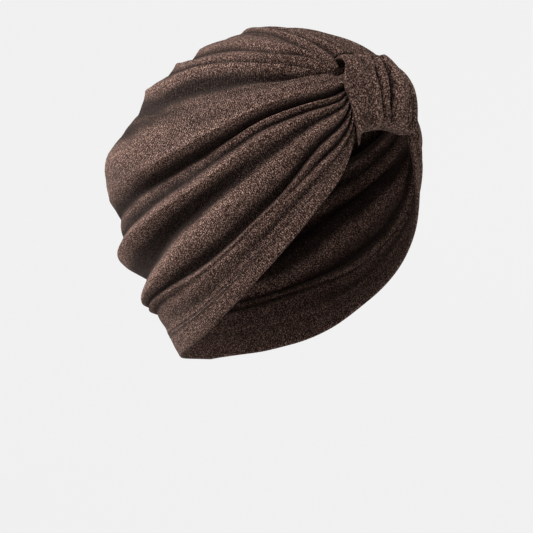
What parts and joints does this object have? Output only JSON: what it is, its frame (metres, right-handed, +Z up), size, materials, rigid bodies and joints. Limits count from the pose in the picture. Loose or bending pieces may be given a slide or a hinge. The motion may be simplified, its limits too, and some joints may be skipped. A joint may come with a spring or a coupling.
{
  "type": "turban headwrap",
  "caption": "Pre-sewn jersey turban in its worn form, with pleats that fan from a front knot to the back over an open head hollow.",
  "frame": {"origin": "the inside of the crown, where the top of the head bears", "axes": "+Z up, the front with the knot faces -Y, the wearer's right is -X"},
  "size_m": [0.1656, 0.2021, 0.2087],
  "materials": {
    "wrap_jersey": "matt brown heather rib jersey",
    "band_jersey": "matt brown heather jersey, drawn tight"
  },
  "bodies": {
    "root": {"wrap_body": "wrap_jersey", "knot_band": "band_jersey"}
  },
  "joints": []
}
